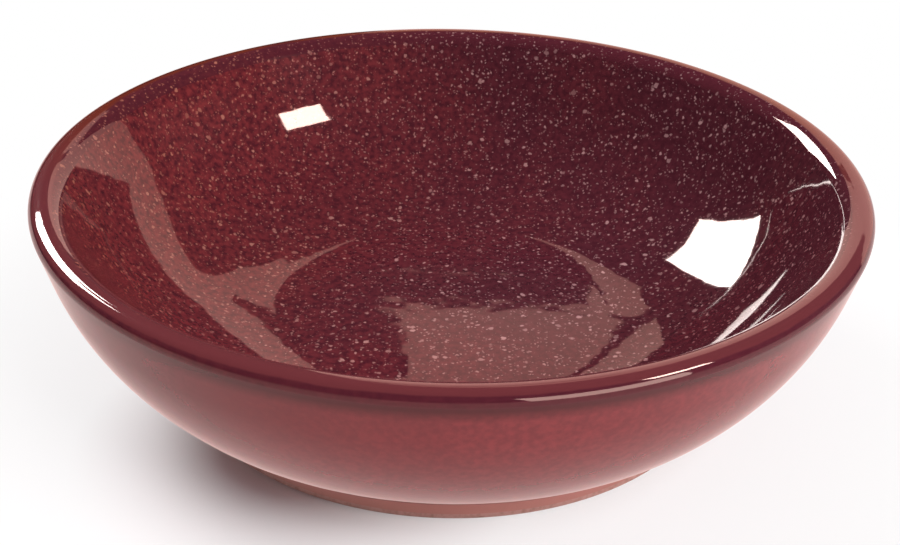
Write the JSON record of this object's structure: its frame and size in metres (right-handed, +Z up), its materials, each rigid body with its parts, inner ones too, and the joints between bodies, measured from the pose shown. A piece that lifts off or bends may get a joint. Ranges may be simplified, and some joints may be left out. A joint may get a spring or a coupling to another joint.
{
  "type": "dip bowl",
  "caption": "Low round stoneware dip bowl with a rounded lip, curved wall, flat floor and foot ring, glazed speckled red-brown inside and plain outside.",
  "frame": {"origin": "centre of the foot ring's standing face, on the table", "axes": "+Z up along the bowl's axis; the bowl is round, so X and Y are any two level directions"},
  "size_m": [0.12, 0.12, 0.0325],
  "materials": {
    "fired_clay": "matte",
    "foot_clay": "matte",
    "speckled_glaze": "gloss",
    "lip_glaze": "gloss",
    "plain_glaze": "gloss",
    "under_glaze": "gloss"
  },
  "bodies": {
    "root": {"clay_body": "fired_clay", "foot_ring": "foot_clay", "inner_glaze": "speckled_glaze", "rim_glaze": "lip_glaze", "outer_glaze": "plain_glaze", "base_glaze": "under_glaze"}
  },
  "joints": []
}
